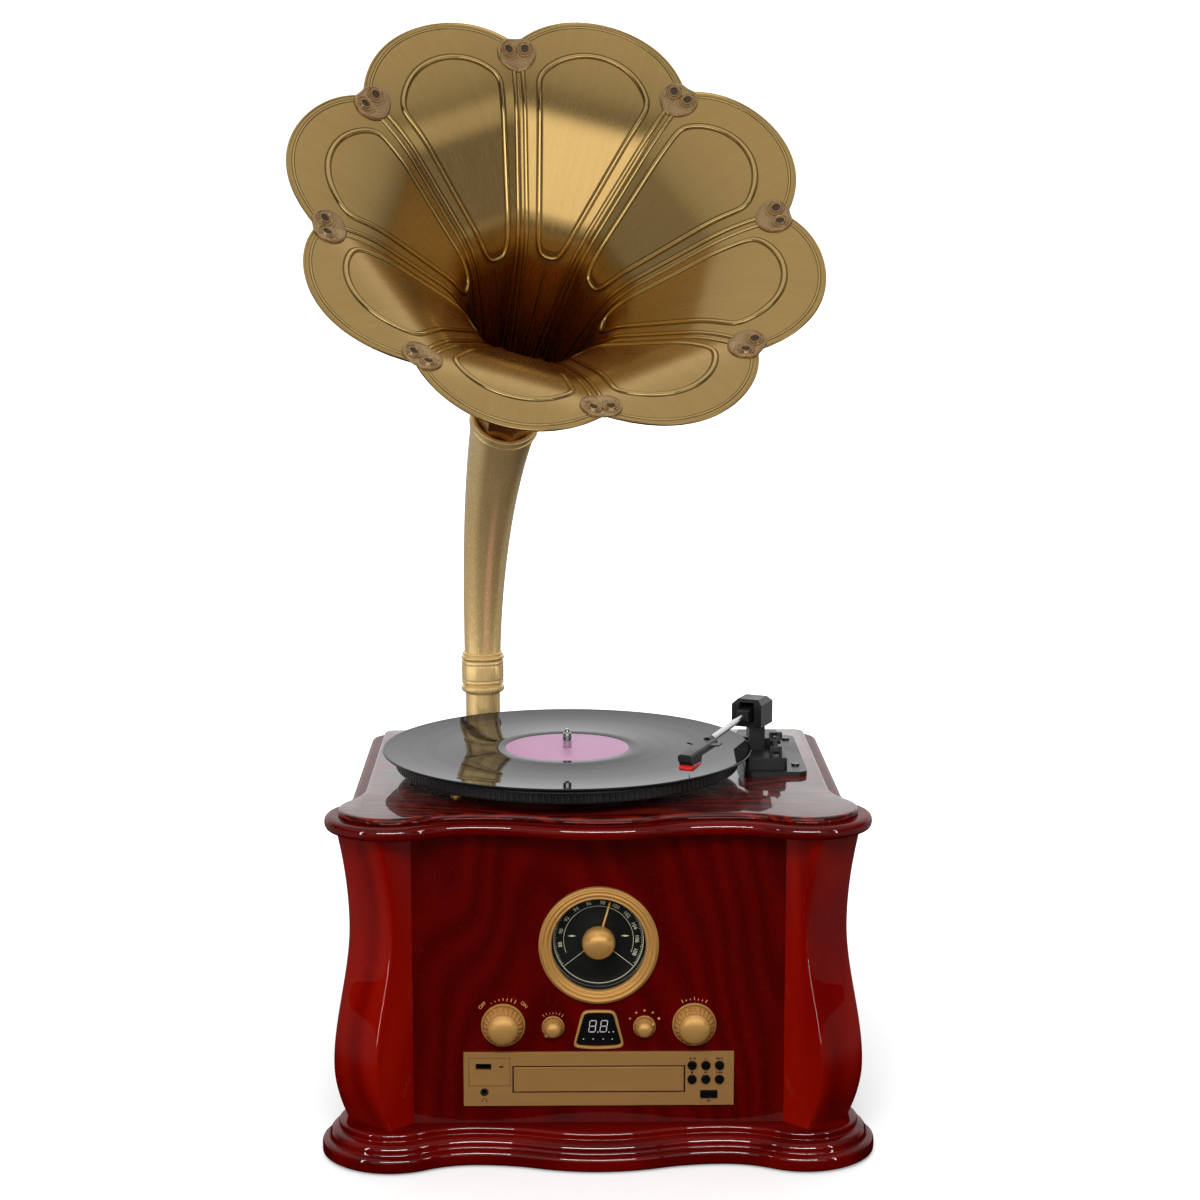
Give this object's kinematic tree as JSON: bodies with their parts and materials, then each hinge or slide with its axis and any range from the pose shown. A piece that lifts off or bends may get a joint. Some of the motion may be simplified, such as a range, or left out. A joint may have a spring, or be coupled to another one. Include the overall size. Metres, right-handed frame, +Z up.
{
  "type": "record player",
  "caption": "Lacquered wooden record player with a turntable and tonearm, a radio dial and disc drawer in its bowed front, and a turning flower horn on a curved pipe.",
  "frame": {"origin": "on the surface that the player stands on, under the middle of the cabinet, where its middle foot rests", "axes": "+Z up, -Y out of the front panel with the dial, +X to the right as seen from the front"},
  "size_m": [0.4489, 0.4613, 0.8842],
  "materials": {
    "red_lacquer": "deep red high-gloss lacquer over grained wood",
    "horn_brass": "brushed satin",
    "bronze_clip": "satin rose bronze",
    "plate_bronze": "fine satin",
    "polished_brass": "polished",
    "black_plastic": "satin black",
    "dial_black": "black with pale scale marks",
    "display_glass": "gloss black window",
    "vinyl": "glossy with fine grooves and a plain paper label",
    "rubber": "matte",
    "steel": "bright",
    "dark_steel": "blackened",
    "board_green": "solder-masked board with dark parts",
    "red_plastic": "bright red"
  },
  "bodies": {
    "cabinet": {"base_plinth": "red_lacquer", "rubber_feet": "rubber", "corner_post_left": "red_lacquer", "corner_post_right": "red_lacquer", "front_panel": "red_lacquer", "side_panel_left": "red_lacquer", "side_panel_right": "red_lacquer", "rear_panel": "black_plastic", "black_screws": "dark_steel", "top_moulding": "red_lacquer", "deck_panel": "red_lacquer", "speaker_grilles": "black_plastic", "speaker_drivers": "black_plastic", "main_board": "board_green", "socket_plate": "black_plastic", "motor": "steel", "spindle_bearing": "steel", "drive_belt": "rubber", "deck_screw": "polished_brass", "dial_bezel": "polished_brass", "dial_face": "dial_black", "display_frame": "polished_brass", "display_window": "display_glass", "faceplate": "plate_bronze", "usb_socket": "steel", "headphone_socket": "black_plastic", "knob_collars": "polished_brass", "drawer_housing": "black_plastic", "tonearm_base": "black_plastic", "pipe_socket": "horn_brass"},
    "platter": {"platter": "black_plastic", "platter_mat": "rubber", "record": "vinyl", "spindle": "steel"},
    "pulley": {"motor_pulley": "black_plastic"},
    "turret": {"arm_turret": "black_plastic"},
    "arm": {"arm_block": "black_plastic", "arm_tube": "steel", "headshell": "black_plastic", "cartridge": "black_plastic", "stylus": "red_plastic"},
    "lifter": {"cue_lifter": "black_plastic"},
    "clip": {"arm_clip": "black_plastic"},
    "dial_hand": {"dial_pointer": "polished_brass", "dial_cap": "polished_brass"},
    "volume": {"volume_knob": "polished_brass"},
    "tuning": {"tuning_knob": "polished_brass"},
    "tone": {"tone_knob": "polished_brass"},
    "selector": {"selector_knob": "polished_brass"},
    "drawer": {"disc_drawer": "plate_bronze"},
    "horn": {"elbow_pipe": "horn_brass", "horn_petals": "horn_brass", "horn_clips": "bronze_clip"},
    "previous_key": {"previous_button": "black_plastic"},
    "play_key": {"play_button": "black_plastic"},
    "next_key": {"next_button": "black_plastic"},
    "stop_key": {"stop_button": "black_plastic"},
    "program_key": {"program_button": "black_plastic"},
    "repeat_key": {"repeat_button": "black_plastic"},
    "eject_key": {"eject_button": "black_plastic"}
  },
  "joints": [
    {"name": "platter_spin", "type": "hinge", "parent": "cabinet", "child": "platter", "pos_m": [-0.0241, -0.014, 0.3], "axis": [0, 0, -1], "continuous": true},
    {"name": "pulley_spin", "type": "hinge", "parent": "cabinet", "child": "pulley", "pos_m": [-0.11093, -0.0748, 0.288], "axis": [0, 0, -1], "continuous": true},
    {"name": "arm_swing", "type": "hinge", "parent": "cabinet", "child": "turret", "pos_m": [0.133, 0.034, 0.314], "axis": [0, 0, 1], "range_deg": [-29, 25]},
    {"name": "arm_lift", "type": "hinge", "parent": "turret", "child": "arm", "pos_m": [0.12931, 0.02579, 0.326], "axis": [-0.9121, 0.4099, 0], "range_deg": [0, 12]},
    {"name": "lifter_rise", "type": "slide", "parent": "cabinet", "child": "lifter", "axis": [0, 0, 1], "range_m": [0, 0.004]},
    {"name": "clip_fold", "type": "hinge", "parent": "cabinet", "child": "clip", "pos_m": [0.1475, -0.006, 0.299], "axis": [1, 0, 0], "range_deg": [0, 55]},
    {"name": "dial_turn", "type": "hinge", "parent": "cabinet", "child": "dial_hand", "pos_m": [0, -0.1367, 0.1738], "axis": [0, 1, 0], "range_deg": [-136, 104]},
    {"name": "volume_turn", "type": "hinge", "parent": "cabinet", "child": "volume", "pos_m": [-0.0748, -0.1367, 0.1093], "axis": [0, 1, 0], "range_deg": [0, 300]},
    {"name": "tuning_turn", "type": "hinge", "parent": "cabinet", "child": "tuning", "pos_m": [0.0748, -0.1367, 0.1093], "axis": [0, 1, 0], "range_deg": [-408, 312]},
    {"name": "tone_turn", "type": "hinge", "parent": "cabinet", "child": "tone", "pos_m": [-0.0358, -0.1367, 0.1076], "axis": [0, 1, 0], "range_deg": [0, 270]},
    {"name": "selector_turn", "type": "hinge", "parent": "cabinet", "child": "selector", "pos_m": [0.0358, -0.1367, 0.1076], "axis": [0, 1, 0], "range_deg": [-120, 0]},
    {"name": "drawer_slide", "type": "slide", "parent": "cabinet", "child": "drawer", "axis": [0, -1, 0], "range_m": [0, 0.13]},
    {"name": "horn_turn", "type": "hinge", "parent": "cabinet", "child": "horn", "pos_m": [-0.0977, 0.138, 0.3495], "axis": [0, 0, 1], "range_deg": [-90, 90]},
    {"name": "previous_press", "type": "slide", "parent": "cabinet", "child": "previous_key", "axis": [0, 1, 0], "range_m": [0, 0.0012], "stiffness_N_per_m": 250, "springref_m": -0.0006},
    {"name": "play_press", "type": "slide", "parent": "cabinet", "child": "play_key", "axis": [0, 1, 0], "range_m": [0, 0.0012], "stiffness_N_per_m": 250, "springref_m": -0.0006},
    {"name": "next_press", "type": "slide", "parent": "cabinet", "child": "next_key", "axis": [0, 1, 0], "range_m": [0, 0.0012], "stiffness_N_per_m": 250, "springref_m": -0.0006},
    {"name": "stop_press", "type": "slide", "parent": "cabinet", "child": "stop_key", "axis": [0, 1, 0], "range_m": [0, 0.0012], "stiffness_N_per_m": 250, "springref_m": -0.0006},
    {"name": "program_press", "type": "slide", "parent": "cabinet", "child": "program_key", "axis": [0, 1, 0], "range_m": [0, 0.0012], "stiffness_N_per_m": 250, "springref_m": -0.0006},
    {"name": "repeat_press", "type": "slide", "parent": "cabinet", "child": "repeat_key", "axis": [0, 1, 0], "range_m": [0, 0.0012], "stiffness_N_per_m": 250, "springref_m": -0.0006},
    {"name": "eject_press", "type": "slide", "parent": "cabinet", "child": "eject_key", "axis": [0, 1, 0], "range_m": [0, 0.0012], "stiffness_N_per_m": 250, "springref_m": -0.0006}
  ],
  "couplings": [
    {"joint": "pulley_spin", "follows": "platter_spin", "ratio": 12.5},
    {"joint": "dial_turn", "follows": "tuning_turn", "ratio": 0.33333}
  ]
}
